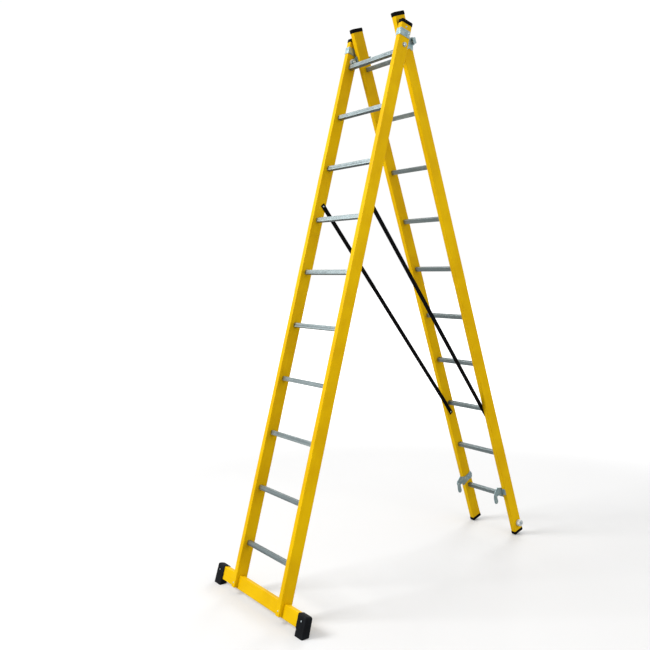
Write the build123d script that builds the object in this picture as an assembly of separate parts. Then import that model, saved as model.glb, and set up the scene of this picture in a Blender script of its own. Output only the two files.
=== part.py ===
from build123d import *
import math
import os

# Two-section fibreglass extension ladder, standing open as an A-frame. Millimetres, +Z up.
# X runs across the ladder, +Y from the front (base) section to the rear (sliding) section.
# Each section is drawn in its own upright frame (x across, d deep, s along the stile),
# where d = 0 is its front face and s = 0 is the ground, and is then leaned into place.

# Stance
frontLean = 16.65          # degrees from upright, top leaning back
rearLean = 16.90           # degrees from upright, top leaning forward
spread = 1687.0            # between the two sections' front faces, along the ground

# Stiles: the same box profile in both sections
stileWidth = 29.0          # along X
stileDepth = 65.0
stileWall = 4.0
stileCorner = 3.0
frontHalf = 221.0          # centre line to the outer face of a front stile
rearHalf = 181.0           # the same for the rear section, which is narrower
frontStileEnds = (40.0, 2932.0)
rearStileEnds = (10.0, 2971.0)

# Rungs
rungPitch = 280.0
rungCount = 10
rungHeight = 23.0
rungDepth = 21.0
rungWall = 2.0
rungInset = 22.0           # front face of the stile to the front face of the rung
rungBite = 14.0            # how far a rung reaches into a stile
firstFrontRung = 267.0
firstRearRung = 244.0
grooveWidth = 1.6
grooveDepth = 0.8
groovePitch = 4.0

# End caps
capSkin = 1.5              # how far a cap stands out round the stile
capSkirt = 12.0
capTop = 8.0
capPlug = 24.0
capRivet = (31.0, 2906.0)  # just under each front cap

# Fold hinge, in the front section's frame
pivotHeight = 2818.0
pivotDepth = 40.0
boltRadius = 5.0
boltPlay = 0.05
spacerRadius = 19.0
hexAcross = 17.0

# Hinge carrier: bent steel sheet on the outer side of each rear stile
sheet = 3.0
carrierGap = 0.4
pinRadius = 5.5

# Collars round the tops of the front stiles
collarSheet = 2.5
collarSpan = (2856.0, 2891.0)
collarReach = 60.0

# Stabiliser bar, the stile's profile laid across
barHalf = 404.0
barSpan = (36.0, 101.0)
barInset = 18.0
footSpan = (344.0, 408.0)
footDepth = (12.0, 52.0)
footTop = 105.0

# Rung hooks on the inner sides of the rear stiles
hookSheet = 4.0
hookBack = 71.0
hookFront = -64.0
hookTop = 330.0
mouthClear = 1.8
catchSheet = 3.0
catchPivot = (-54.0, 294.0)
catchEnd = 236.0           # how low the catch hangs
catchStud = (-56.0, 250.0)

# Guide rollers by the rear feet
rollerRadius = 19.0
rollerSpan = (182.0, 204.0)
rollerPlace = (40.0, 66.0)
axleRadius = 4.0

# Spreader straps
strapWidth = 25.0
strapThick = 2.0
strapFront = (49.0, 2027.0)
strapRear = (24.8, 744.0)
strapFlat = (40.0, 110.0)  # lengths that lie flat on the front and the rear stile
strapGap = 0.3

rivetRadius = 2.4
rivetHead = 4.5
rivetRise = 1.8


def block(x, d, s):
    """A box from three (low, high) pairs."""
    size = Box(x[1] - x[0], d[1] - d[0], s[1] - s[0])
    return Pos((x[0] + x[1]) / 2, (d[0] + d[1]) / 2, (s[0] + s[1]) / 2) * size


def rod(x, d, s, radius):
    """A round bar along X between the two x values."""
    turned = Rotation(0, 90, 0) * Cylinder(radius, x[1] - x[0])
    return Pos((x[0] + x[1]) / 2, d, s) * turned


def plate(x, outline, corner):
    """A flat sheet between two x values, its outline given as (d, s) points."""
    face = make_face(Polyline(*outline, close=True))
    if corner:
        face = fillet(face.vertices(), corner)
    return Pos(x[0], 0, 0) * extrude(Plane.YZ * face, x[1] - x[0])


def boxTube(width, depth, length):
    outer = RectangleRounded(width, depth, stileCorner)
    inner = RectangleRounded(width - 2 * stileWall, depth - 2 * stileWall, 1)
    return extrude(outer - inner, length)


def rivet(x, d, s, depth):
    """A dome headed rivet on a face at x that looks towards +X, with a shank inwards."""
    head = Pos(x, d, s) * (Rotation(0, 90, 0) * Cone(rivetHead, rivetHead * 0.55, rivetRise))
    head = Pos(rivetRise / 2, 0, 0) * head
    return head + rod((x - depth, x), d, s, rivetRadius)


def mirrored(shape):
    return mirror(shape, about=Plane.YZ)


def rungSection():
    """The rung's ribbed square tube, drawn with d to the right and s up."""
    face = RectangleRounded(rungDepth, rungHeight, 2)
    for step in range(-2, 3):
        offset = step * groovePitch
        edge = rungHeight / 2 - grooveDepth / 2
        side = rungDepth / 2 - grooveDepth / 2
        if abs(step) < 2:
            face -= Locations((-side, offset), (side, offset)) * Rectangle(grooveDepth, grooveWidth)
        face -= Locations((offset, edge), (offset, -edge)) * Rectangle(grooveWidth, grooveDepth)
    return face - RectangleRounded(rungDepth - 2 * rungWall, rungHeight - 2 * rungWall, 1)


def rungHeights(first):
    return [first + index * rungPitch for index in range(rungCount)]


def rungs(half, first):
    reach = half - stileWidth + rungBite
    bar = Pos(-reach, 0, 0) * extrude(Plane.YZ * rungSection(), 2 * reach)
    middle = rungInset + rungDepth / 2
    return [Pos(0, middle, height) * bar for height in rungHeights(first)]


def stile(half, ends, first):
    """One right hand stile with the sockets for its rungs."""
    middle = half - stileWidth / 2
    shape = boxTube(stileWidth, stileDepth, ends[1] - ends[0])
    shape = Pos(middle, stileDepth / 2, ends[0]) * shape
    inner = half - stileWidth
    for height in rungHeights(first):
        shape -= block((inner - 1, inner + stileWall + 1), (rungInset, rungInset + rungDepth),
                       (height - rungHeight / 2, height + rungHeight / 2))
    return shape


def cap(half, end, direction):
    """A cap that plugs the stile's end; direction is +1 at the top and -1 at the foot."""
    middle = half - stileWidth / 2
    outer = RectangleRounded(stileWidth + 2 * capSkin, stileDepth + 2 * capSkin, stileCorner + capSkin)
    shell = extrude(outer, capTop + capSkirt)
    shell = fillet(shell.faces().sort_by(Axis.Z)[-1].edges(), 2.5)
    shell = Pos(0, 0, -capSkirt) * shell
    hollow = extrude(RectangleRounded(stileWidth, stileDepth, stileCorner), -capSkirt - 1)
    plug = RectangleRounded(stileWidth - 2 * stileWall - 0.4, stileDepth - 2 * stileWall - 0.4, 1)
    whole = shell - hollow + extrude(plug, -capPlug)
    turned = Rotation(0, 0 if direction > 0 else 180, 0) * whole
    return Pos(middle, stileDepth / 2, end) * turned


def frontStile():
    shape = stile(frontHalf, frontStileEnds, firstFrontRung)
    notch = block((frontHalf - stileWidth - 1, frontHalf + 1), (barInset, barInset + stileWidth),
                  (frontStileEnds[0] - 1, barSpan[1]))
    shape -= notch
    shape -= rod((frontHalf - stileWidth - 1, frontHalf + 1), pivotDepth, pivotHeight, boltRadius)
    for x, d, s in collarRivetPlaces():
        shape -= rod((x - 8, x + 1), d, s, rivetRadius)
    inward = frontHalf - stileWidth
    shape -= rod((inward - 1, inward + 5), *strapFront, rivetRadius)
    shape -= Pos(frontHalf - stileWidth / 2, 0, 62) * (Rotation(90, 0, 0) * Cylinder(2.5, 30))
    return shape - rod((frontHalf - 8, frontHalf + 1), *capRivet, rivetRadius)


def collarRivetPlaces():
    return [(frontHalf + collarSheet, 33, 2879), (frontHalf + collarSheet, 51, 2879)]


def collar():
    """A strip of sheet bent round the front of a stile and along both its sides."""
    low, high = collarSpan
    inner = frontHalf - stileWidth
    outer = block((inner - collarSheet, frontHalf + collarSheet), (-collarSheet, collarReach), (low, high))
    outer = fillet(outer.edges().filter_by(Axis.Z).group_by(Axis.Y)[0], stileCorner + 1)
    shape = outer - block((inner, frontHalf), (0, collarReach + 1), (low - 1, high + 1))
    shape -= rod((frontHalf - 1, frontHalf + 4), 38, 2864, 2.8)
    for x, d, s in collarRivetPlaces():
        shape -= rod((x - 8, x + 1), d, s, rivetRadius)
    return shape


def stabiliserBar():
    """The cross bar, through the notches at the feet of the front stiles."""
    tube = boxTube(stileWidth, barSpan[1] - barSpan[0], 2 * barHalf)
    tube = Rotation(0, 90, 0) * (Rotation(0, 0, 90) * tube)
    middle = (barSpan[0] + barSpan[1]) / 2
    shape = Pos(-barHalf, barInset + stileWidth / 2, middle) * tube
    for side in (-1, 1):
        x = side * (frontHalf - stileWidth / 2)
        shape -= Pos(x, barInset + 2, 62) * (Rotation(90, 0, 0) * Cylinder(2.5, 5))
    return shape


def barFoot():
    """A moulded rubber shoe pushed over the end of the stabiliser bar, flat on the ground."""
    shape = block(footSpan, footDepth, (-12, footTop))
    shape = fillet(shape.edges().filter_by(Axis.Z), 5)
    shape = chamfer(shape.faces().sort_by(Axis.Z)[-1].edges(), 4)
    reach = (footSpan[0] - 1, barHalf)
    shape -= block(reach, (barInset, barInset + stileWidth), barSpan)
    return shape


def frontScrew(x, d, s, length):
    """A pan head screw whose head stands on a face at depth d that looks forward."""
    head = Pos(x, d, s) * (Rotation(90, 0, 0) * Cone(3.8, 2.4, 2.0))
    shank = Pos(x, d + length / 2, s) * (Rotation(90, 0, 0) * Cylinder(2.5, length))
    return Pos(0, -1, 0) * head + shank


def hexagon(x, d, s, thick):
    face = RegularPolygon(hexAcross / 2, 6, major_radius=False)
    return Pos(x, d, s) * (Rotation(0, 90, 0) * extrude(face, thick))


def pivotBolt():
    washer = rod((frontHalf, frontHalf + 1.6), pivotDepth, pivotHeight, 11.5)
    head = hexagon(frontHalf + 1.6, pivotDepth, pivotHeight, 6.4)
    shank = rod((rearHalf - 12, frontHalf + 2), pivotDepth, pivotHeight, boltRadius)
    return washer + head + shank


def pivotNut():
    nut = hexagon(rearHalf - 8.2, pivotDepth, pivotHeight, 8)
    return nut - rod((rearHalf - 20, rearHalf + 5), pivotDepth, pivotHeight, boltRadius)


def pivotSpacer():
    """The white nylon disc between a front stile and the hinge carrier."""
    start = rearHalf + carrierGap + sheet + 0.3
    disc = rod((start, frontHalf - stileWidth), pivotDepth, pivotHeight, spacerRadius)
    return disc - rod((start - 1, frontHalf), pivotDepth, pivotHeight, boltRadius)


def frontToRear(d, s):
    """A point of the front section's frame, (d, s), in the rear section's frame."""
    lean, back = math.radians(frontLean), math.radians(rearLean)
    y = s * math.sin(lean) + d * math.cos(lean) - spread
    z = s * math.cos(lean) - d * math.sin(lean)
    return y * math.cos(back) + z * math.sin(back), z * math.cos(back) - y * math.sin(back)


pivotRear = frontToRear(pivotDepth, pivotHeight)
# With the ladder shut the rear section's frame lies on the front one, moved by this much.
shutDepth = pivotDepth - pivotRear[0]
shutHeight = pivotHeight - pivotRear[1]


def carrier():
    """The bent bracket that turns on the pivot bolt and guides one rear stile."""
    inner = rearHalf + carrierGap
    x = (inner, inner + sheet)
    depth, height = pivotRear
    arm = plate(x, [(depth, height - 13), (2, height - 17), (2, height + 27), (depth, height + 13)], 0)
    eye = rod(x, depth, height, 14)
    body = plate(x, [(0, 2797), (44, 2797), (50, 2785), (62, 2785), (68, 2805), (81, 2808),
                     (81, 2846), (0, 2846)], 4)
    lip = block((170, x[1]), (-carrierGap - sheet, -carrierGap), (2806, 2844))
    bridge = block(x, (-carrierGap - sheet, 3), (2806, 2844))
    wing = block((x[0], 200), (78, 81), (2812, 2842))
    tail = block((197, 200), (62, 81), (2812, 2842))
    shape = arm + eye + body + lip + bridge + wing + tail
    shape -= rod((x[0] - 20, x[1] + 2), depth, height, boltRadius + boltPlay)
    return shape - rod((x[0] - 1, x[1] + 1), pinPlace()[0], pinPlace()[1], 3)


def pinPlace():
    return stileDepth + pinRadius + 0.5, 2822.0


def guidePin():
    """The cross pin that holds a rear stile in its carrier from behind."""
    outer = rearHalf + carrierGap + sheet
    barrel = rod((148, rearHalf + carrierGap), *pinPlace(), pinRadius)
    neck = rod((rearHalf, outer), *pinPlace(), 3)
    return barrel + neck + rod((outer, outer + 3), *pinPlace(), 6.5)


def rearStile():
    shape = stile(rearHalf, rearStileEnds, firstRearRung)
    inner = rearHalf - stileWidth
    for d, s in hookRivetPlaces():
        shape -= rod((inner - 1, inner + 5), d, s, rivetRadius)
    shape -= rod((inner - 1, inner + 5), *strapRear, rivetRadius)
    shape -= rod((rearHalf - 12, rearHalf + 1), *rollerPlace, axleRadius)
    return shape


def rearFootCap():
    """The moulded foot, a little longer than the top cap, so that it stands flat."""
    return cap(rearHalf, rearStileEnds[0], -1)


def hookRivetPlaces():
    return [(10.0, 300.0), (42.0, 300.0)]


def rungHook():
    """The plate whose seat rests over a front rung when the sections are shut."""
    inner = rearHalf - stileWidth
    x = (inner - hookSheet, inner)
    seat = firstFrontRung - shutHeight + rungHeight / 2 + mouthClear
    rungBack = rungInset + rungDepth - shutDepth + mouthClear
    outline = [(hookFront + 2, seat), (hookFront, seat + 20), (hookFront + 8, hookTop - 18),
               (-40, hookTop - 10), (-30, hookTop), (-16, hookTop - 8), (2, hookTop - 18), (22, hookTop - 20),
               (44, hookTop - 16), (58, hookTop - 9), (hookBack - 5, hookTop - 12), (hookBack, hookTop - 30),
               (hookBack - 4, 284), (54, 274), (40, 278), (2, 268), (rungBack + 6, 262), (rungBack, 266),
               (rungBack, seat)]
    shape = plate(x, outline, 0)
    flange = block((x[0], rearHalf - 2), (-hookSheet + 0.6, 0), (270, 308))
    shape += fillet(flange.edges().filter_by(Axis.Y).group_by(Axis.X)[-1], 6)
    for d, s in hookRivetPlaces():
        shape -= rod((inner - 6, inner + 1), d, s, rivetRadius)
    return shape - rod((inner - 6, inner + 1), *catchPivot, rivetRadius)


def hookRivets():
    """Rivets that hold the hook to the inner side of a rear stile, heads inwards."""
    face = -(rearHalf - stileWidth - hookSheet)
    return [mirrored(rivet(face, d, s, hookSheet + 3.5)) for d, s in hookRivetPlaces()]


def catchRivet():
    """The rivet on which the catch turns, with its head on the catch."""
    face = -(rearHalf - stileWidth - hookSheet - catchSheet - 0.5)
    return mirrored(rivet(face, *catchPivot, hookSheet + catchSheet + 0.5))


def catch():
    """The sprung catch that hangs in front of the rung, with a stud to push it by."""
    inner = rearHalf - stileWidth - hookSheet - 0.2
    x = (inner - catchSheet, inner)
    d, s = catchPivot
    back = rungInset - shutDepth - 2
    flap = plate(x, [(d - 9, s), (d - 15, s - 16), (d - 17, catchEnd + 14), (d - 12, catchEnd + 3),
                     (d - 4, catchEnd), (back - 7, catchEnd), (back, catchEnd + 9), (back, s - 14),
                     (d + 9, s)], 0)
    stud = rod((x[0] - 1.6, x[0]), *catchStud, 4.5)
    shape = flap + rod(x, d, s, 9) + stud
    return shape - rod((x[0] - 1, x[1] + 1), d, s, rivetRadius + boltPlay)


def guideRoller():
    shape = rod(rollerSpan, *rollerPlace, rollerRadius)
    shape = fillet(shape.edges().filter_by(GeomType.CIRCLE), 2)
    return shape - rod((rollerSpan[0] - 1, rollerSpan[1] + 1), *rollerPlace, axleRadius + boltPlay)


def rollerAxle():
    start, end = rollerSpan
    axle = rod((rearHalf - stileWall - 3, end + 3.2), *rollerPlace, axleRadius)
    return axle + rod((end + 0.3, end + 3.2), *rollerPlace, 8)


def lean(angle, y, shapes):
    return [Location((0, y, 0), (angle, 0, 0)) * shape for shape in shapes]


def front(*shapes):
    return lean(-frontLean, 0, shapes)


def rear(*shapes):
    return lean(rearLean, spread, shapes)


def anchor(place, leaning):
    """Where a strap's anchor, given as (d, s), ends up on the standing ladder, at X = 0."""
    return leaning(Pos(0, *place))[0].position


def strap():
    """One taut length of flat webbing between the two sections, on the right."""
    start = anchor(strapFront, front)
    along = anchor(strapRear, rear) - start
    side = Plane(origin=start, x_dir=along.normalized(), z_dir=along.cross(Vector(1, 0, 0)))
    outer = frontHalf - stileWidth - 0.1
    inner = rearHalf - stileWidth - strapGap
    ends = (-strapWidth / 2, along.length + strapWidth / 2)
    route = [(ends[0], outer), (strapFlat[0], outer), (along.length - strapFlat[1], inner), (ends[1], inner)]
    back = [(length, x - strapThick) for length, x in reversed(route)]
    profile = make_face(Polyline(*route, *back, close=True))
    band = extrude(side * profile, strapWidth / 2, both=True)
    band -= strapRivet(frontHalf, strapFront, front)
    return band - strapRivet(rearHalf, strapRear, rear)


def strapRivet(half, place, leaning):
    """A rivet through the webbing into the inner side of a stile, head inwards."""
    face = -(half - stileWidth - strapThick - 0.4)
    return leaning(mirrored(rivet(face, *place, strapThick + 4)))[0]


def splitAtGround(shape):
    """Trims a foot to the flat ground."""
    return shape - Pos(0, 0, -100) * Box(4000, 6000, 200)


def buildNodes():
    nodes = {}

    def both(name, shape, leaning):
        nodes[name + "_right"] = leaning(shape)
        nodes[name + "_left"] = leaning(mirrored(shape))

    def group(name, shapes, leaning):
        nodes[name] = leaning(*shapes, *[mirrored(shape) for shape in shapes])

    both("front_stile", frontStile(), front)
    nodes["front_rungs"] = front(*rungs(frontHalf, firstFrontRung))
    both("front_top_cap", cap(frontHalf, frontStileEnds[1], 1), front)
    both("front_collar", collar(), front)
    group("collar_rivets", [rivet(x, d, s, 6) for x, d, s in collarRivetPlaces()], front)
    group("cap_rivets", [rivet(frontHalf, *capRivet, stileWall - 0.2)], front)
    nodes["stabiliser_bar"] = front(stabiliserBar())
    group("bar_screws", [frontScrew(frontHalf - stileWidth / 2, 0, 62, 20)], front)
    group("foot_screws", [frontScrew(376, footDepth[0], 76, 5)], front)
    group("pivot_bolts", [pivotBolt()], front)
    group("pivot_nuts", [pivotNut()], front)
    both("pivot_spacer", pivotSpacer(), front)
    both("carrier", carrier(), rear)
    group("guide_pins", [guidePin()], rear)
    both("rear_stile", rearStile(), rear)
    nodes["rear_rungs"] = rear(*rungs(rearHalf, firstRearRung))
    both("rear_top_cap", cap(rearHalf, rearStileEnds[1], 1), rear)
    both("rung_hook", rungHook(), rear)
    group("hook_rivets", hookRivets(), rear)
    both("catch", catch(), rear)
    group("catch_rivets", [catchRivet()], rear)
    both("guide_roller", guideRoller(), rear)
    group("roller_axles", [rollerAxle()], rear)
    for side, turn in (("right", lambda shape: shape), ("left", mirrored)):
        foot = front(turn(barFoot()))[0]
        hole = front(turn(frontScrew(376, footDepth[0], 76, 5)))[0]
        nodes["bar_foot_" + side] = [splitAtGround(foot) - hole]
        nodes["rear_foot_cap_" + side] = [splitAtGround(rear(turn(rearFootCap()))[0])]
        nodes["strap_" + side] = [turn(strap())]
    for name, half, place, leaning in (("strap_rivets_front", frontHalf, strapFront, front),
                                       ("strap_rivets_rear", rearHalf, strapRear, rear)):
        one = strapRivet(half, place, leaning)
        nodes[name] = [one, mirrored(one)]
    return nodes


def main():
    os.makedirs("parts", exist_ok=True)
    nodes = buildNodes()
    boxes = [shape.bounding_box() for shapes in nodes.values() for shape in shapes]
    middle = (min(box.min.Y for box in boxes) + max(box.max.Y for box in boxes)) / 2
    print("origin set back by", round(middle, 3), "mm; pivot", pivotRear, "shut", shutDepth, shutHeight)
    for name, shapes in nodes.items():
        solids = [solid for shape in shapes for solid in (Pos(0, -middle, 0) * shape).solids()]
        whole = solids[0] if len(solids) == 1 else Compound(children=solids)
        export_step(whole, "parts/" + name + ".step")


main()
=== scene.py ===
import math

import bmesh
import bpy
from mathutils import Matrix, Vector


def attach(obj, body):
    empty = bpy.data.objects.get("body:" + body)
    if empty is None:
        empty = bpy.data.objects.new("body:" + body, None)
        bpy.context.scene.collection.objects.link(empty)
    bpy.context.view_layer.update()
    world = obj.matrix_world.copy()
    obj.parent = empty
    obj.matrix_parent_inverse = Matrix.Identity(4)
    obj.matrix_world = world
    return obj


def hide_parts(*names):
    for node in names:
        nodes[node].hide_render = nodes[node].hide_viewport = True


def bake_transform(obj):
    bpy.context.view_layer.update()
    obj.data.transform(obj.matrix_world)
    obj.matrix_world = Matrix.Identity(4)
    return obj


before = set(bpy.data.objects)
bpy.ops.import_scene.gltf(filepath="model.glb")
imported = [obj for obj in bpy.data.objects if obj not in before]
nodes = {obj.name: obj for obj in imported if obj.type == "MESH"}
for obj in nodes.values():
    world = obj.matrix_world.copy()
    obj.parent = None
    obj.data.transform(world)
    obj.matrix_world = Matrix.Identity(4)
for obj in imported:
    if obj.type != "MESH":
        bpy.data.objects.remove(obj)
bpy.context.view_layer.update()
print("frame loaded,", len(nodes), "nodes")

# Each section has its own upright frame: x across the ladder, d deep, s along the stile.
stance = {
    "frontLean": 16.65,     # degrees, top leaning back
    "rearLean": 16.90,      # degrees, top leaning forward
    "spread": 1.687,        # between the front faces along the ground
    "originBack": 0.880444,
}


def sectionFrame(lean, y):
    turned = Matrix.Rotation(math.radians(lean), 4, "X")
    return Matrix.Translation((0, y - stance["originBack"], 0)) @ turned


frontFrame = sectionFrame(-stance["frontLean"], 0)
rearFrame = sectionFrame(stance["rearLean"], stance["spread"])

stile = {"wide": 0.029, "deep": 0.065, "corner": 0.003, "frontHalf": 0.221, "rearHalf": 0.181}


def colour(red, green, blue):
    # a screen colour from 0 to 255 as the linear one that a shader takes
    parts = [part / 255 for part in (red, green, blue)]
    return tuple(p / 12.92 if p < 0.04 else ((p + 0.055) / 1.055) ** 2.4 for p in parts) + (1.0,)


class Socket:
    # one socket of a node tree, so that shader maths reads as Python
    def __init__(self, tree, link=None):
        self.tree = tree
        self.link = link

    def node(self, kind, settings=None, inputs=None, output=0):
        made = self.tree.nodes.new("ShaderNode" + kind)
        for name, value in (settings or {}).items():
            if name == "stops":
                setStops(made.color_ramp.elements, value)
            else:
                setattr(made, name, value)
        for name, value in (inputs or {}).items():
            if isinstance(value, Socket):
                self.tree.links.new(value.link, made.inputs[name])
            else:
                made.inputs[name].default_value = value
        return Socket(self.tree, made.outputs[output] if made.outputs else None)

    def maths(self, operation, first, second=0.0):
        return self.node("Math", {"operation": operation}, {0: first, 1: second})

    def __add__(self, other):
        return self.maths("ADD", self, other)

    def __sub__(self, other):
        return self.maths("SUBTRACT", self, other)

    def __rsub__(self, other):
        return self.maths("SUBTRACT", other, self)

    def __mul__(self, other):
        return self.maths("MULTIPLY", self, other)

    __radd__ = __add__
    __rmul__ = __mul__


def setStops(elements, stops):
    while len(elements) < len(stops):
        elements.new(0.5)
    for element, (position, value) in zip(elements, stops):
        element.position = position
        element.color = value


def fade(value, low, high, start=0.0, end=1.0):
    # a smooth change from start to end while value goes from low to high
    levels = {"Value": value, "From Min": low, "From Max": high, "To Min": start, "To Max": end}
    return value.node("MapRange", {"interpolation_type": "SMOOTHSTEP"}, levels)


def noise(place, scale, detail=2.0, rough=0.5):
    inputs = {"Vector": place, "Scale": scale, "Detail": detail, "Roughness": rough}
    return place.node("TexNoise", {}, inputs)


def stretch(place, scale):
    return place.node("VectorMath", {"operation": "MULTIPLY"}, {0: place, 1: scale})


def mixed(factor, first, second, blend="MIX"):
    settings = {"data_type": "RGBA", "blend_type": blend}
    return factor.node("Mix", settings, {0: factor, 6: first, 7: second}, 2)


def edges(paint, radius):
    # near 1 along the piece's outer edges and 0 on its flats
    rounded = paint.node("Bevel", {"samples": 4}, {"Radius": radius})
    flat = paint.node("NewGeometry", {}, {}, "Normal")
    facing = paint.node("VectorMath", {"operation": "DOT_PRODUCT"}, {0: rounded, 1: flat}, "Value")
    return fade(1 - facing, 0.01, 0.2)


def corners(paint, distance):
    # near 1 in crevices, from ambient occlusion: painted shade where a colour darkens there, and dust where
    # the black plastic and rubber lighten
    openness = paint.node("AmbientOcclusion", {"samples": 4}, {"Distance": distance}, "AO")
    return fade(openness, 0.35, 0.9, 1.0, 0.0)


def newPaint(name):
    made = bpy.data.materials.new(name)
    made.use_nodes = True
    made.node_tree.nodes.clear()
    return made, Socket(made.node_tree)


def finishPaint(paint, sockets, relief=None, reliefDepth=0.001):
    if relief:
        lifted = {"Strength": 1.0, "Distance": reliefDepth, "Height": relief}
        sockets = {**sockets, "Normal": paint.node("Bump", {}, lifted)}
    shader = paint.node("BsdfPrincipled", {}, sockets)
    paint.node("OutputMaterial", {}, {"Surface": shader})


def sectionPlace(paint, lean):
    # object coordinates turned upright into a section's own frame
    place = paint.node("TexCoord", {}, {}, "Object")
    return paint.node("Mapping", {}, {"Vector": place, "Rotation": (math.radians(-lean), 0, 0)})


fibreLook = {
    "body": colour(235, 190, 0),
    "deep": colour(221, 173, 0),
    "pale": colour(250, 214, 30),
    # the colour of the painted shade in crevices
    "creviceShade": colour(150, 112, 4),
    "rovings": (900, 900, 5),       # fine lengthwise fibre bundles
    "hairs": (2400, 2400, 55),      # short single fibres just under the skin
}


def makeFibreglass(name, lean, crosswise=False):
    made, paint = newPaint(name)
    place = sectionPlace(paint, lean)
    turned = (lambda scale: scale[::-1]) if crosswise else (lambda scale: scale)
    rovings = noise(stretch(place, turned(fibreLook["rovings"])), 1.0, 3.0)
    hairs = fade(noise(stretch(place, turned(fibreLook["hairs"])), 1.0, 1.0), 0.6, 0.72)
    cloud = noise(place, 7.0, 3.0)
    veil = noise(place, 260.0, 2.0)
    wearAndEdgeHighlight = edges(paint, 0.0022) * fade(noise(place, 38.0, 4.0), 0.42, 0.62)
    # painted shade: the yellow darkens in patches where ambient occlusion finds crevices
    paintedCreviceShade = corners(paint, 0.03) * fade(noise(place, 22.0, 4.0), 0.3, 0.7)
    tone = mixed(fade(cloud * 0.6 + rovings * 0.4, 0.36, 0.64), fibreLook["deep"], fibreLook["body"])
    tone = mixed(hairs * 0.22, tone, fibreLook["pale"])
    tone = mixed(wearAndEdgeHighlight * 0.45, tone, fibreLook["pale"])
    tone = mixed(paintedCreviceShade * 0.4, tone, fibreLook["creviceShade"])
    finishPaint(paint, {
        "Base Color": tone,
        "Roughness": 0.33 + rovings * 0.12 + hairs * 0.08 + paintedCreviceShade * 0.2,
        "Specular IOR Level": 0.05,
        "Coat Weight": 0.03,
        "Coat Roughness": 0.22,
    }, rovings * 0.7 + veil * 0.3, 0.00022)
    return made


rungLook = {
    "body": colour(156, 169, 171),
    "dark": colour(110, 121, 124),
    "bright": colour(204, 211, 213),
    "drawn": (2.5, 1500, 1500),     # drawing lines along the extrusion
}


def makeAluminium(name, lean):
    made, paint = newPaint(name)
    place = sectionPlace(paint, lean)
    drawn = noise(stretch(place, rungLook["drawn"]), 1.0, 3.0)
    bands = noise(stretch(place, (1.5, 220, 220)), 1.0, 2.0)
    smudges = fade(noise(place, 26.0, 4.0), 0.4, 0.7)
    # painted highlight: every edge is brightened evenly
    wearAndEdgeHighlight = edges(paint, 0.0012)
    # painted shade: darker where ambient occlusion finds crevices and grooves
    paintedCreviceShade = corners(paint, 0.006)
    tone = mixed(fade(drawn * 0.5 + bands * 0.5, 0.35, 0.65), rungLook["dark"], rungLook["body"])
    tone = mixed(fade(bands, 0.2, 0.8), tone, rungLook["body"])
    tone = mixed(wearAndEdgeHighlight * 0.35, tone, rungLook["bright"])
    tone = mixed(paintedCreviceShade * 0.3, tone, rungLook["dark"])
    finishPaint(paint, {
        "Base Color": tone,
        "Metallic": 0.9,
        "Roughness": 0.3 + drawn * 0.16 + smudges * 0.1,
    }, drawn * 0.8 + bands * 0.2, 0.00006)
    return made


zincLook = {
    "body": colour(174, 192, 196),
    "cool": colour(146, 174, 180),
    "warm": colour(178, 192, 174),
    "bright": colour(216, 224, 227),
    # the colour of the painted shade in crevices
    "dark": colour(38, 48, 52),
}


def makeZinc(name, bright=False):
    made, paint = newPaint(name)
    place = paint.node("TexCoord", {}, {}, "Object")
    clouds = noise(place, 55.0, 3.0)
    tint = noise(place, 18.0, 2.0)
    grain = noise(place, 900.0, 3.0)
    spangle = place.node("TexVoronoi", {"feature": "F1"}, {"Vector": place, "Scale": 260.0}, "Distance")
    # painted highlight: every edge is brightened strongly and evenly
    wearAndEdgeHighlight = edges(paint, 0.0009)
    # painted shade: darker where ambient occlusion finds crevices
    paintedCreviceShade = corners(paint, 0.008)
    tone = mixed(fade(clouds, 0.35, 0.65), zincLook["cool"], zincLook["body"])
    tone = mixed(fade(tint, 0.5, 0.72) * 0.45, tone, zincLook["warm"])
    tone = mixed(wearAndEdgeHighlight * 0.8, tone, zincLook["bright"])
    if bright:
        tone = mixed(fade(clouds, 0.2, 0.6, 0.3, 0.6), tone, zincLook["bright"])
    tone = mixed(paintedCreviceShade * 0.5, tone, zincLook["dark"])
    finishPaint(paint, {
        "Base Color": tone,
        "Metallic": 0.72,
        "Roughness": (0.2 if bright else 0.3) + clouds * 0.12 + spangle * 0.08 + paintedCreviceShade * 0.2,
    }, grain * 0.6 + spangle * 0.4, 0.00006)
    return made


plasticLook = {"body": colour(5, 5, 7), "dusty": colour(46, 46, 45), "scuffed": colour(40, 40, 42)}


def makePlastic(name):
    made, paint = newPaint(name)
    place = paint.node("TexCoord", {}, {}, "Object")
    grain = place.node("TexVoronoi", {"feature": "SMOOTH_F1"}, {"Vector": place, "Scale": 1600.0}, "Distance")
    cloud = noise(place, 40.0, 4.0)
    scratches = fade(noise(stretch(place, (60, 900, 900)), 1.0, 3.0), 0.62, 0.75)
    wearAndEdgeHighlight = edges(paint, 0.0012) * fade(cloud, 0.4, 0.6)
    dust = corners(paint, 0.008) * fade(cloud, 0.3, 0.7)
    tone = mixed(dust * 0.35, plasticLook["body"], plasticLook["dusty"])
    tone = mixed(wearAndEdgeHighlight * 0.5 + scratches * 0.12, tone, plasticLook["scuffed"])
    finishPaint(paint, {
        "Base Color": tone,
        "Roughness": 0.36 + cloud * 0.16 + scratches * 0.1,
        "Specular IOR Level": 0.05,
    }, grain * 0.7 + cloud * 0.3, 0.00008)
    return made


rubberLook = {"body": colour(12, 14, 18), "bloom": colour(30, 36, 42), "wearAndEdgeHighlight": colour(62, 64, 64)}


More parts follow.
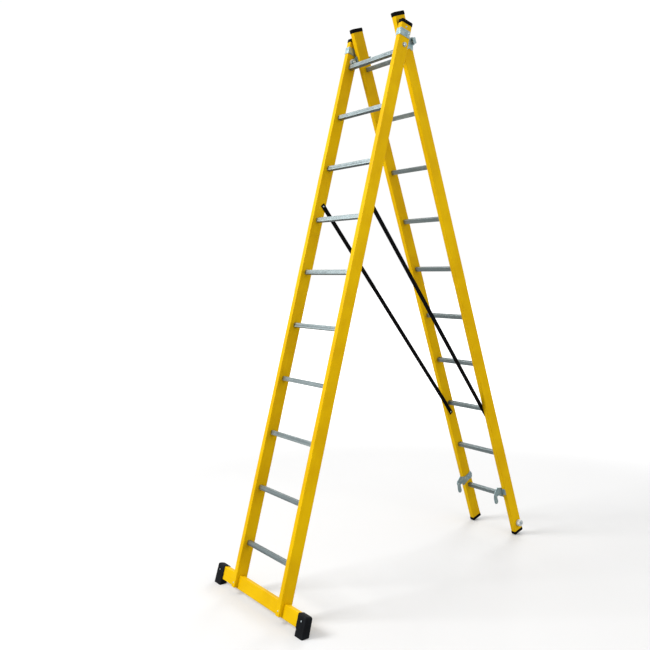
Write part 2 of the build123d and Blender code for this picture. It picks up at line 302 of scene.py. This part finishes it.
def makeRubber(name):
    made, paint = newPaint(name)
    place = paint.node("TexCoord", {}, {}, "Object")
    pores = noise(place, 1400.0, 2.0)
    cloud = noise(place, 30.0, 4.0)
    flow = noise(stretch(place, (90, 90, 12)), 1.0, 2.0)
    wearAndEdgeHighlight = edges(paint, 0.002) * fade(cloud, 0.42, 0.62)
    dust = corners(paint, 0.01)
    tone = mixed(fade(flow * 0.5 + cloud * 0.5, 0.45, 0.75) * 0.5, rubberLook["body"], rubberLook["bloom"])
    tone = mixed(wearAndEdgeHighlight * 0.4, tone, rubberLook["wearAndEdgeHighlight"])
    tone = mixed(dust * 0.3, tone, rubberLook["wearAndEdgeHighlight"])
    finishPaint(paint, {
        "Base Color": tone,
        "Roughness": 0.46 + cloud * 0.2 + dust * 0.2,
        "Specular IOR Level": 0.12,
    }, pores * 0.6 + cloud * 0.4, 0.00012)
    return made


# the third colour is the painted shade in crevices
nylonLook = {"body": colour(232, 236, 236), "shade": colour(196, 204, 204), "creviceShade": colour(150, 150, 142)}


def makeNylon(name):
    made, paint = newPaint(name)
    place = paint.node("TexCoord", {}, {}, "Object")
    axes = {"wave_type": "RINGS", "rings_direction": "X"}
    turned = place.node("TexWave", axes, {"Vector": place, "Scale": 420.0, "Distortion": 0.6}, "Fac")
    cloud = noise(place, 60.0, 4.0)
    # painted shade: darker where ambient occlusion finds crevices
    paintedCreviceShade = corners(paint, 0.006)
    tone = mixed(fade(cloud, 0.3, 0.7), nylonLook["shade"], nylonLook["body"])
    tone = mixed(turned * 0.12, tone, nylonLook["shade"])
    tone = mixed(paintedCreviceShade * 0.5, tone, nylonLook["creviceShade"])
    finishPaint(paint, {
        "Base Color": tone,
        "Roughness": 0.34 + cloud * 0.14 + turned * 0.06,
    }, turned, 0.00005)
    return made


webbingLook = {
    "yarn": colour(6, 6, 8),
    "wearAndEdgeHighlight": colour(30, 30, 32),
    "lengthwise": 1 / 0.0022,       # ribs of the weave, one each 2.2 mm
    "across": 1 / 0.0016,
}


def makeWebbing(name):
    made, paint = newPaint(name)
    place = paint.node("Attribute", {"attribute_name": "weave"}, {}, "Vector")
    along = paint.node("SeparateXYZ", {}, {"Vector": place})
    across = Socket(made.node_tree, along.link.node.outputs["Y"])
    chevron = paint.maths("ABSOLUTE", across) * (webbingLook["lengthwise"] * 1.4)
    rib = paint.maths("SINE", (along * webbingLook["lengthwise"] + chevron) * (2 * math.pi))
    cords = paint.maths("SINE", across * (webbingLook["across"] * 2 * math.pi))
    fluff = noise(place, 700.0, 3.0)
    wearAndEdgeHighlight = fade(noise(place, 14.0, 3.0), 0.5, 0.7) * fade(rib, 0.2, 0.9)
    tone = mixed(wearAndEdgeHighlight * 0.5 + fluff * 0.12, webbingLook["yarn"], webbingLook["wearAndEdgeHighlight"])
    finishPaint(paint, {
        "Base Color": tone,
        "Roughness": 0.62 + fluff * 0.25,
        "Specular IOR Level": 0.06,
    }, rib * 0.35 + cords * 0.25 + fluff * 0.4, 0.0003)
    return made


fibreFront = makeFibreglass("fibreglass front", -stance["frontLean"])
fibreRear = makeFibreglass("fibreglass rear", stance["rearLean"])
fibreBar = makeFibreglass("fibreglass bar", -stance["frontLean"], True)
aluminiumFront = makeAluminium("rung aluminium front", -stance["frontLean"])
aluminiumRear = makeAluminium("rung aluminium rear", stance["rearLean"])
zinc = makeZinc("blue zinc sheet")
brightZinc = makeZinc("bright zinc fasteners", True)
plastic = makePlastic("black moulded plastic")
rubber = makeRubber("black rubber")
nylon = makeNylon("turned nylon")
webbing = makeWebbing("webbing")
print("materials made")

carriedOver = {
    "front_stile_left": fibreFront, "front_stile_right": fibreFront,
    "rear_stile_left": fibreRear, "rear_stile_right": fibreRear,
    "stabiliser_bar": fibreBar,
    "front_rungs": aluminiumFront, "rear_rungs": aluminiumRear,
    "front_collar_left": zinc, "front_collar_right": zinc,
    "carrier_left": zinc, "carrier_right": zinc,
    "rung_hook_left": zinc, "rung_hook_right": zinc,
    "catch_left": zinc, "catch_right": zinc,
}
for name, material in carriedOver.items():
    nodes[name].data.materials.clear()
    nodes[name].data.materials.append(material)

# Folded and cut sheet gets softly broken edges.
brokenEdge = {"weld": 0.00002, "width": 0.0004, "segments": 2, "angle": 35}
for name in carriedOver:
    if name.startswith(("front_collar", "carrier", "rung_hook", "catch")):
        weld = nodes[name].modifiers.new("weld", "WELD")
        weld.merge_threshold = brokenEdge["weld"]
        bevel = nodes[name].modifiers.new("broken edge", "BEVEL")
        bevel.width = brokenEdge["width"]
        bevel.segments = brokenEdge["segments"]
        bevel.limit_method = "ANGLE"
        bevel.angle_limit = math.radians(brokenEdge["angle"])
        bevel.harden_normals = True
print("frame finished in", len(carriedOver), "nodes")


def addPiece(name, bm, material, body, place=None, replaces=(), sharp=32, ownAxes=False):
    # place is worked into the mesh, unless the material needs the piece's own axes
    if place and not ownAxes:
        bm.transform(place)
    bmesh.ops.recalc_face_normals(bm, faces=bm.faces)
    mesh = bpy.data.meshes.new(name)
    bm.to_mesh(mesh)
    bm.free()
    mesh.shade_smooth()
    mesh.set_sharp_from_angle(angle=math.radians(sharp))
    mesh.materials.append(material)
    made = bpy.data.objects.new(name, mesh)
    bpy.context.scene.collection.objects.link(made)
    made.matrix_world = place if ownAxes else Matrix()
    if body:
        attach(made, body)
    if replaces:
        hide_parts(*replaces)
    return made


def skinRings(bm, rings, looped=False):
    loops = [[bm.verts.new(point) for point in ring] for ring in rings]
    pairs = list(zip(loops, loops[1:]))
    if looped:
        pairs.append((loops[-1], loops[0]))
    for low, high in pairs:
        for index in range(len(low)):
            after = (index + 1) % len(low)
            bm.faces.new((low[index], low[after], high[after], high[index]))
    if not looped:
        bm.faces.new(loops[0])
        bm.faces.new(loops[-1])
    return loops


def outline(halfWide, halfDeep, corner, arcSteps=6, wideSteps=1, deepSteps=1):
    # a rounded rectangle, its straight runs divided, counted round from the right
    points = []
    signs = ((1, 1), (-1, 1), (-1, -1), (1, -1))
    for turn, (signX, signD) in enumerate(signs):
        centre = Vector((signX * (halfWide - corner), signD * (halfDeep - corner)))
        for step in range(arcSteps + 1):
            angle = math.pi / 2 * (turn + step / arcSteps)
            points.append(centre + corner * Vector((math.cos(angle), math.sin(angle))))
        following = signs[(turn + 1) % 4]
        nextCentre = Vector((following[0] * (halfWide - corner), following[1] * (halfDeep - corner)))
        angle = math.pi / 2 * (turn + 1)
        goal = nextCentre + corner * Vector((math.cos(angle), math.sin(angle)))
        steps = wideSteps if turn % 2 == 0 else deepSteps
        last = points[-1]
        points += [last.lerp(goal, part / steps) for part in range(1, steps)]
    return points


def lathe(bm, profile, centre, steps=40, looped=False):
    # turns (radius, x) points round an axis along X through centre = (d, s)
    rings = []
    for radius, x in profile:
        ring = []
        for step in range(steps):
            angle = 2 * math.pi * step / steps
            ring.append((x, centre[0] + radius * math.cos(angle), centre[1] + radius * math.sin(angle)))
        rings.append(ring)
    skinRings(bm, rings, looped)


cap = {
    "skin": 0.0015,
    "frontTop": 2.932, "rearTop": 2.971, "rearFoot": 0.010,
    # how far each ring stands in from the outer skin, and its height above the stile's end
    "rings": [(0.00145, -0.0118), (0.0004, -0.0120), (0.0, -0.0115), (0.0, -0.0022), (0.0005, -0.0017),
              (0.0005, -0.0008), (0.0, -0.0003), (0.0, 0.0034), (0.0003, 0.0048), (0.0011, 0.0062),
              (0.0024, 0.0072), (0.0041, 0.0078), (0.0066, 0.0080), (0.0072, 0.0075), (0.0105, 0.0075),
              (0.0112, 0.0079)],
}


def buildCap(half, end, direction):
    bm = bmesh.new()
    middle = half - stile["wide"] / 2
    rings = []
    for inset, height in cap["rings"]:
        halfWide = stile["wide"] / 2 + cap["skin"] - inset
        halfDeep = stile["deep"] / 2 + cap["skin"] - inset
        corner = max(stile["corner"] + cap["skin"] - inset * 0.6, 0.0015)
        rings.append([(middle + p.x, stile["deep"] / 2 + p.y, end + direction * height)
                      for p in outline(halfWide, halfDeep, corner)])
    skinRings(bm, rings)
    return bm


soleHeight = 0.00002    # a hair above the floor, so that no sole sinks through it


def trimAtFloor(bm, turned):
    # cuts a foot flat where it stands and closes the sole
    floorNormal = turned.inverted().to_3x3() @ Vector((0, 0, 1))
    floorPoint = turned.inverted() @ Vector((0, 0, soleHeight))
    everything = list(bm.verts) + list(bm.edges) + list(bm.faces)
    cut = bmesh.ops.bisect_plane(bm, geom=everything, plane_co=floorPoint, plane_no=floorNormal,
                                 clear_inner=True)
    rim = [item for item in cut["geom_cut"] if isinstance(item, bmesh.types.BMEdge)]
    bmesh.ops.contextual_create(bm, geom=rim)


for side, sign in (("right", 1), ("left", -1)):
    for name, half, end, direction, section, body in (
        ("front_top_cap_", "frontHalf", cap["frontTop"], 1, frontFrame, "front_section"),
        ("rear_top_cap_", "rearHalf", cap["rearTop"], 1, rearFrame, "rear_section"),
        ("rear_foot_cap_", "rearHalf", cap["rearFoot"], -1, rearFrame, "rear_section"),
    ):
        bm = buildCap(stile[half], end, direction)
        if sign < 0:
            bmesh.ops.scale(bm, vec=(-1, 1, 1), verts=bm.verts)
        if direction < 0:
            trimAtFloor(bm, section)
        addPiece(name + side + "_moulded", bm, plastic, body, section, [name + side])
print("caps made")


foot = {
    "span": (0.344, 0.408), "depth": (0.012, 0.052), "corner": 0.007,
    "ribDepth": 0.0007, "ribPitch": 0.0054, "belly": 0.0006, "bellyHeight": 0.1,
    "lip": 0.0035, "barSpan": (0.036, 0.101), "barInset": 0.018, "soleRound": 0.004,
    # each ring's height, how far it stands in from the side, and whether the ribs run through it
    "rings": [(-0.014, 0.0, False), (0.004, 0.0, False), (0.012, 0.0, False), (0.016, 0.0, False),
              (0.018, 0.0, True), (0.050, 0.0, True), (0.086, 0.0, True), (0.088, 0.0, False),
              (0.094, 0.0002, False), (0.099, 0.0008, False), (0.1018, 0.0022, False),
              (0.1038, 0.0042, False), (0.105, 0.0072, False)],
    "barWindow": {"back": 0.346, "edge": 0.3420, "face": 0.3414},    # x of the lip's rings
}


def buildShoe(sign):
    bm = bmesh.new()
    low, high = foot["span"]
    front, back = foot["depth"]
    centre = Vector(((low + high) / 2, (front + back) / 2))
    halfWide, halfDeep = (high - low) / 2, (back - front) / 2
    most, bellyHeight = foot["belly"], foot["bellyHeight"]
    rings = []
    for height, inset, ribbed in foot["rings"]:
        belly = most * math.cos(math.pi * min(max(height, 0), bellyHeight) / bellyHeight)
        points = outline(halfWide - inset - most + belly, halfDeep - inset - most + belly,
                         foot["corner"], 5, 48, 28)
        ring = []
        for p in points:
            onEnd = abs(abs(p.x) - halfWide) < 0.003
            onFace = abs(abs(p.y) - halfDeep) < 0.003
            across = p.y if onEnd else p.x
            limit = (halfDeep if onEnd else halfWide) - foot["corner"] - 0.001
            groove = 0.0
            if ribbed and (onEnd != onFace) and abs(across) < limit:
                wave = math.cos(2 * math.pi * across / foot["ribPitch"])
                groove = foot["ribDepth"] * max(0.0, wave) ** 0.7
            if onEnd:
                q = p - Vector((math.copysign(groove, p.x), 0))
            else:
                q = p - Vector((0, math.copysign(groove, p.y)))
            ring.append((sign * (centre.x + q.x), centre.y + q.y, height))
        rings.append(ring)
    skinRings(bm, rings)
    trimAtFloor(bm, frontFrame)
    rim = [e for e in bm.edges if all(abs((frontFrame @ v.co).z - soleHeight) < 1e-5 for v in e.verts)]
    bmesh.ops.bevel(bm, geom=rim, offset=foot["soleRound"], offset_type="OFFSET", segments=3, profile=0.5,
                    affect="EDGES", clamp_overlap=True)
    return bm


def addLip(bm, sign):
    # the raised rim where the bar goes into the shoe
    low, high = foot["barSpan"]
    back = foot["barInset"] + stile["wide"]
    middle = Vector(((foot["barInset"] + back) / 2, (low + high) / 2))
    rings = []
    lip, window = foot["lip"], foot["barWindow"]
    for grow, x in ((0.0, window["back"]), (0.0, window["edge"]), (0.0006, window["face"]),
                    (lip - 0.0008, window["face"]), (lip, window["edge"]), (lip, window["back"])):
        points = outline(stile["wide"] / 2 + grow, (high - low) / 2 + grow, stile["corner"] + grow)
        rings.append([(sign * x, middle.x + p.x, middle.y + p.y) for p in points])
    skinRings(bm, rings, True)


for side, sign in (("right", 1), ("left", -1)):
    bm = buildShoe(sign)
    addLip(bm, sign)
    addPiece("bar_shoe_" + side, bm, rubber, "front_section", frontFrame,
             ["bar_foot_" + side])
print("shoes made")


roller = {"radius": 0.019, "span": (0.182, 0.204), "place": (0.040, 0.066), "bore": 0.00405}


def rollerProfile():
    low, high = roller["span"]
    r, bore = roller["radius"], roller["bore"]
    return [(bore, low), (r - 0.0022, low), (r - 0.0008, low + 0.0006), (r - 0.0002, low + 0.0020),
            (r, low + 0.0045), (r, high - 0.0045), (r - 0.0002, high - 0.0020), (r - 0.0008, high - 0.0006),
            (r - 0.0024, high), (0.0148, high), (0.0143, high - 0.0012), (0.0100, high - 0.0012),
            (0.0095, high), (bore, high)]


for side, sign in (("right", 1), ("left", -1)):
    bm = bmesh.new()
    middle = sum(roller["span"]) / 2
    lathe(bm, [(r, sign * (x - middle)) for r, x in rollerProfile()], (0, 0), 56, True)
    place = rearFrame @ Matrix.Translation((sign * middle, *roller["place"]))
    addPiece("guide_roller_turned_" + side, bm, nylon, side + "_roller", place,
             ["guide_roller_" + side], ownAxes=True)

spacer = {"radius": 0.019, "span": (0.1847, 0.192), "bore": 0.005, "place": (0.040, 2.818)}
for side, sign in (("right", 1), ("left", -1)):
    bm = bmesh.new()
    low, high = spacer["span"]
    r = spacer["radius"]
    profile = [(spacer["bore"], low), (r - 0.0010, low), (r - 0.0003, low + 0.0003), (r, low + 0.0010),
               (r, high - 0.0010), (r - 0.0003, high - 0.0003), (r - 0.0010, high), (spacer["bore"], high)]
    middle = (low + high) / 2
    lathe(bm, [(radius, sign * (x - middle)) for radius, x in profile], (0, 0), 48, True)
    place = frontFrame @ Matrix.Translation((sign * middle, *spacer["place"]))
    addPiece("pivot_spacer_turned_" + side, bm, nylon, "front_section", place,
             ["pivot_spacer_" + side], ownAxes=True)
print("rollers and spacers made")


rivet = {"head": 0.0045, "rise": 0.0018, "shank": 0.0024}


def domeProfile(x, direction, depth):
    # a dome head on the face at x that looks along direction, then its shank
    r, rise = rivet["head"], rivet["rise"]
    shape = [(0.0004, rise * 0.86), (r * 0.16, rise * 0.86), (r * 0.24, rise), (r * 0.52, rise * 0.93),
             (r * 0.76, rise * 0.72), (r * 0.92, rise * 0.42), (r, rise * 0.12), (r * 0.98, 0.0),
             (rivet["shank"], -0.00005), (rivet["shank"], -depth)]
    return [(radius, x + direction * height) for radius, height in shape]


def addRivets(name, places, section, body, replaces):
    # places are (x, d, s, direction, depth) on the right, and each has its mirror image
    bm = bmesh.new()
    for x, d, s, direction, depth in places:
        for sign in (1, -1):
            lathe(bm, [(r, sign * h) for r, h in domeProfile(x, direction, depth)], (d, s), 24)
    addPiece(name, bm, brightZinc, body, section, replaces)


inner = {"front": stile["frontHalf"] - stile["wide"], "rear": stile["rearHalf"] - stile["wide"]}
addRivets("collar_rivets_domed", [(0.2235, 0.033, 2.879, 1, 0.006), (0.2235, 0.051, 2.879, 1, 0.006)],
          frontFrame, "front_section", ["collar_rivets"])
addRivets("cap_rivets_domed", [(stile["frontHalf"], 0.031, 2.906, 1, 0.0038)],
          frontFrame, "front_section", ["cap_rivets"])
addRivets("hook_rivets_domed", [(inner["rear"] - 0.004, 0.010, 0.300, -1, 0.0075),
                                (inner["rear"] - 0.004, 0.042, 0.300, -1, 0.0075)],
          rearFrame, "rear_section", ["hook_rivets"])
addRivets("catch_rivets_domed", [(inner["rear"] - 0.0075, -0.054, 0.294, -1, 0.0075)],
          rearFrame, "rear_section", ["catch_rivets"])
addRivets("strap_rivets_front_domed", [(inner["front"] - 0.0024, 0.049, 2.027, -1, 0.006)],
          frontFrame, "front_section", ["strap_rivets_front"])
addRivets("strap_rivets_rear_domed", [(inner["rear"] - 0.0024, 0.0248, 0.744, -1, 0.006)],
          rearFrame, "rear_section", ["strap_rivets_rear"])
print("rivets made")


hexHead = {"across": 0.017, "steps": 48, "chamfer": 30}


def hexRings(start, end, centre, chamferEnds):
    # a hexagon along X whose corners are turned off at the ends named in chamferEnds
    inscribed = hexHead["across"] / 2
    slope = math.tan(math.radians(hexHead["chamfer"]))
    direction = 1 if end > start else -1

    def ring(x, shrink, cut):
        points = []
        for step in range(hexHead["steps"]):
            angle = 2 * math.pi * step / hexHead["steps"]
            sector = (angle + math.pi / 6) % (math.pi / 3) - math.pi / 6
            radius = inscribed / math.cos(sector)
            drop = (radius - inscribed * 0.97) * slope * cut
            reach = min(radius, inscribed * 0.97) if shrink else radius
            points.append((x - direction * drop * (0 if shrink else 1),
                           centre[0] + reach * math.cos(angle), centre[1] + reach * math.sin(angle)))
        return points

    rings = []
    if "start" in chamferEnds:
        rings += [ring(start, True, 0), ring(start, False, -1)]
    else:
        rings.append(ring(start, False, 0))
    if "end" in chamferEnds:
        rings += [ring(end, False, 1), ring(end, True, 0)]
    else:
        rings.append(ring(end, False, 0))
    return rings


pivot = {"place": spacer["place"], "washer": 0.0115, "washerThick": 0.0016, "headEnd": 0.0080, "bolt": 0.005}
boltMesh, nutMesh = bmesh.new(), bmesh.new()
face, rearFace = stile["frontHalf"], stile["rearHalf"]
washer, thick, bolt = pivot["washer"], pivot["washerThick"], pivot["bolt"]
for sign in (1, -1):
    disc = [(0.004, face), (washer - 0.0004, face), (washer, face + 0.0004), (washer, face + 0.0012),
            (washer - 0.0004, face + thick), (0.004, face + thick)]
    lathe(boltMesh, [(r, sign * x) for r, x in disc], pivot["place"], 40)
    headStart, headEnd = face + thick, face + pivot["headEnd"]
    skinRings(boltMesh, hexRings(sign * headStart, sign * headEnd, pivot["place"], ["end"]))
    shank = [(0.0036, rearFace - 0.012), (bolt, rearFace - 0.0110), (bolt, face + 0.001)]
    lathe(boltMesh, [(r, sign * x) for r, x in shank], pivot["place"], 28)
    nutStart, nutEnd = rearFace - 0.0082, rearFace - 0.0002
    skinRings(nutMesh, hexRings(sign * nutStart, sign * nutEnd, pivot["place"], ["start", "end"]))
for name, mesh in (("pivot_bolts", boltMesh), ("pivot_nuts", nutMesh)):
    addPiece(name + "_turned", mesh, brightZinc, "front_section", frontFrame, [name])

# the turned pins and axles as (radius, x) points, counted outwards
pin = {
    "place": (0.071, 2.822),
    "profile": [(0.0044, 0.148), (0.0055, 0.1491), (0.0055, 0.1806), (0.0050, 0.1812), (0.003, 0.1813),
                (0.003, 0.1843), (0.0059, 0.18445), (0.0065, 0.1849), (0.0065, 0.1868), (0.0059, 0.1874)],
}
pinMesh = bmesh.new()
for sign in (1, -1):
    lathe(pinMesh, [(r, sign * x) for r, x in pin["profile"]], pin["place"], 32)
addPiece("guide_pins_turned", pinMesh, brightZinc, "hinge_carrier", rearFrame, ["guide_pins"])

axle = {
    "place": roller["place"],
    "profile": [(0.004, 0.174), (0.004, 0.20425), (0.0074, 0.2043), (0.0080, 0.2048), (0.0079, 0.2060),
                (0.0070, 0.2069), (0.0052, 0.2072), (0.0030, 0.2072), (0.0024, 0.2064)],
}
axleMesh = bmesh.new()
for sign in (1, -1):
    lathe(axleMesh, [(r, sign * x) for r, x in axle["profile"]], axle["place"], 36)
addPiece("roller_axles_turned", axleMesh, brightZinc, "rear_section", rearFrame,
         ["roller_axles"])


screw = {
    "shank": 0.0025, "steps": 24,
    "head": [(0.0004, -0.0010), (0.0010, -0.0011), (0.0013, -0.0019), (0.0024, -0.0019),
             (0.0032, -0.0014), (0.0037, -0.0007), (0.0038, 0.0)],
}


def addScrews(name, x, d, s, length, replaces):
    # a pan head with a recess in its crown, looking forward
    bm = bmesh.new()
    profile = screw["head"] + [(screw["shank"], 0.0001), (screw["shank"], length)]
    for sign in (1, -1):
        rings = []
        for radius, depth in profile:
            ring = []
            for step in range(screw["steps"]):
                angle = 2 * math.pi * step / screw["steps"]
                ring.append((sign * x + radius * math.cos(angle), d + depth, s + radius * math.sin(angle)))
            rings.append(ring)
        skinRings(bm, rings)
    addPiece(name, bm, brightZinc, "front_section", frontFrame, replaces)


addScrews("bar_screws_turned", stile["frontHalf"] - stile["wide"] / 2, 0.0, 0.062, 0.02, ["bar_screws"])
addScrews("foot_screws_turned", 0.376, foot["depth"][0], 0.076, 0.005, ["foot_screws"])
print("fasteners made")


strap = {
    "width": 0.025, "thick": 0.0018, "hem": 0.042, "hemThick": 0.0026,
    "front": (0.049, 2.027), "rear": (0.0248, 0.744), "flat": (0.040, 0.110), "gap": 0.0004,
    "split": 0.26, "firm": 0.03,    # shares of the length where the halves meet and where the firm part ends
    "step": 0.008, "acrossSteps": 10, "hemSlope": 0.002, "endSteps": (0.0006, 0.0012),
}


def strapRing(start, run, cross, length, distance, sign):
    inFront = inner["front"] - 0.0001
    inRear = inner["rear"] - strap["gap"]
    flatEnd, flatStart = strap["flat"][0], length - strap["flat"][1]
    part = min(max((distance - flatEnd) / (flatStart - flatEnd), 0.0), 1.0)
    outer = inFront + (inRear - inFront) * part
    toEnd = min(distance + strap["width"] / 2, length + strap["width"] / 2 - distance)
    hem = min(max((strap["hem"] - toEnd) / strap["hemSlope"], 0.0), 1.0)
    thick = strap["thick"] + (strap["hemThick"] - strap["thick"]) * hem
    tip = min(1.0, 0.55 + toEnd / 0.0012)
    half = strap["width"] / 2
    ring, weave = [], []
    count = strap["acrossSteps"]
    for face in (0, 1):
        for step in range(count + 1):
            share = step / count if face == 0 else 1 - step / count
            across = (share * 2 - 1) * half
            # the selvedges are a little thicker than the middle, and rounded off
            edge = abs(share * 2 - 1)
            swell = 0.85 + 0.15 * (edge > 0.82)
            rounded = swell * (1.0 if edge < 0.96 else 0.62) * tip
            depth = thick / 2 * (1 - rounded) if face == 0 else thick / 2 * (1 + rounded)
            point = start + run * distance + cross * across
            ring.append((sign * (outer - depth), point.y, point.z))
            weave.append((distance, across, float(face)))
    return ring, weave


def addStrapHalf(name, sign, low, high, start, run, cross, length):
    bm = bmesh.new()
    tail = strap["width"] / 2
    layer = bm.verts.layers.float_vector.new("weave")
    near, far = strap["endSteps"]
    stops = [low, low + near, low + far] if low < 0 else [low]
    distance = stops[-1] + strap["step"]
    finish = [high - far, high - near, high] if high > length else [high]
    firstHem, lastHem = strap["hem"] - tail, length - strap["hem"] + tail
    hemEdges = [firstHem - strap["hemSlope"], firstHem, lastHem, lastHem + strap["hemSlope"]]
    while distance < finish[0] - strap["step"] / 2:
        stops.append(distance)
        distance += strap["step"]
    stops = sorted(set(stops + finish + [edge for edge in hemEdges if low < edge < high]))
    rings, weaves = [], []
    for stop in stops:
        ring, weave = strapRing(start, run, cross, length, stop, sign)
        rings.append(ring)
        weaves.append(weave)
    loops = skinRings(bm, rings)
    for loop, weave in zip(loops, weaves):
        for vertex, value in zip(loop, weave):
            vertex[layer] = value
    return addPiece(name, bm, webbing, None, None, (), 40)


start = frontFrame @ Vector((0, *strap["front"]))
end = rearFrame @ Vector((0, *strap["rear"]))
length = (end - start).length
run = (end - start).normalized()
cross = run.cross(Vector((1, 0, 0))).normalized()
meet = length * strap["split"]
tail = strap["width"] / 2
for side, sign in (("right", 1), ("left", -1)):
    upper = addStrapHalf("strap_upper_" + side, sign, -tail, meet, start, run, cross, length)
    lower = addStrapHalf("strap_lower_" + side, sign, meet, length + tail, start, run, cross, length)
    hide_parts("strap_" + side)
    bendStart = start + run * (length * strap["firm"])
    start + run * meet
    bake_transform(upper)
    start + run * meet
    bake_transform(lower)
print("straps made, each", round(length + strap["width"], 4), "m long")


camera = {
    "place": (3.1001, -2.6167, 1.6565), "yaw": 53.067, "pitch": -5.116, "roll": -1.56,
    "lens": 42.417, "shift": (-0.02873, 0.0026),
}
view = bpy.data.objects.new("camera", bpy.data.cameras.new("camera"))
bpy.context.scene.collection.objects.link(view)
turned = Matrix.Rotation(math.radians(camera["yaw"]), 4, "Z")
turned = turned @ Matrix.Rotation(math.radians(90 + camera["pitch"]), 4, "X")
turned = turned @ Matrix.Rotation(math.radians(camera["roll"]), 4, "Z")
view.matrix_world = Matrix.Translation(camera["place"]) @ turned
view.data.sensor_width = 36
view.data.lens = camera["lens"]
view.data.shift_x, view.data.shift_y = camera["shift"]
bpy.context.scene.camera = view

studio = {
    "floorSize": 60.0, "floorShades": (0.62, 0.64), "bounce": 0.32,
    "floorGlow": (0.11, 1.0), "glowReach": (2.2, 5.5),      # the floor's own light, near and far
    "skySeen": 1.02, "sky": [(0.0, 0.35), (0.48, 0.5), (0.56, 0.85), (1.0, 0.9)], "skyStrength": 0.85,
}


def addFloor():
    mesh = bpy.data.meshes.new("floor")
    half = studio["floorSize"] / 2
    around = [(-half, -half, 0), (half, -half, 0), (half, half, 0), (-half, half, 0)]
    mesh.from_pydata(around, [], [(0, 1, 2, 3)])
    made = bpy.data.objects.new("floor", mesh)
    bpy.context.scene.collection.objects.link(made)
    material, paint = newPaint("studio floor")
    place = paint.node("TexCoord", {}, {}, "Object")
    shades = [(shade, shade, shade, 1) for shade in studio["floorShades"]]
    matt = paint.node("BsdfDiffuse", {}, {"Color": mixed(noise(place, 1.5, 2.0), *shades)})
    away = paint.node("VectorMath", {"operation": "LENGTH"}, {0: place}, "Value")
    levels = [(level, level, level, 1) for level in studio["floorGlow"]]
    lit = mixed(fade(away, *studio["glowReach"]), *levels)
    glow = paint.node("Emission", {}, {"Color": lit, "Strength": 1.0})
    seen = paint.node("AddShader", {}, {0: matt, 1: glow})
    bounced = paint.node("BsdfDiffuse", {}, {"Color": (studio["bounce"],) * 3 + (1,)})
    ray = paint.node("LightPath", {}, {}, "Is Camera Ray")
    shader = paint.node("MixShader", {}, {0: ray, 1: bounced, 2: seen})
    paint.node("OutputMaterial", {}, {"Surface": shader})
    mesh.materials.append(material)


def addSky():
    world = bpy.data.worlds.new("studio")
    bpy.context.scene.world = world
    world.use_nodes = True
    world.node_tree.nodes.clear()
    paint = Socket(world.node_tree)
    place = paint.node("TexCoord", {}, {}, "Generated")
    height = Socket(world.node_tree, paint.node("SeparateXYZ", {}, {"Vector": place}).link.node.outputs["Z"])
    stops = [(position, (level, level, level, 1)) for position, level in studio["sky"]]
    ramp = paint.node("ValToRGB", {"stops": stops}, {0: height * 0.5 + 0.5})
    lit = paint.node("Background", {}, {"Color": ramp, "Strength": studio["skyStrength"]})
    seen = paint.node("Background", {}, {"Color": (1, 1, 1, 1), "Strength": studio["skySeen"]})
    ray = paint.node("LightPath", {}, {}, "Is Camera Ray")
    shader = paint.node("MixShader", {}, {0: ray, 1: lit, 2: seen})
    paint.node("OutputWorld", {}, {"Surface": shader})


def addLight(name, place, aim, size, power):
    data = bpy.data.lights.new(name, "AREA")
    data.shape = "RECTANGLE"
    data.size, data.size_y = size
    data.energy = power
    made = bpy.data.objects.new(name, data)
    bpy.context.scene.collection.objects.link(made)
    made.location = place
    made.rotation_mode = "QUATERNION"
    made.rotation_quaternion = (Vector(aim) - Vector(place)).to_track_quat("-Z", "Y")


addFloor()
addSky()
addLight("key softbox", (-2.2, -4.6, 4.6), (0, 0, 1.2), (2.6, 2.6), 300)
addLight("side softbox", (5.4, 0.2, 2.3), (0, 0, 1.1), (2.6, 3.0), 84)
addLight("back softbox", (-2.4, 4.6, 4.2), (0, 0, 1.4), (2.4, 2.4), 120)
bpy.context.scene.view_settings.view_transform = "Standard"
print("camera, lights and floor set")
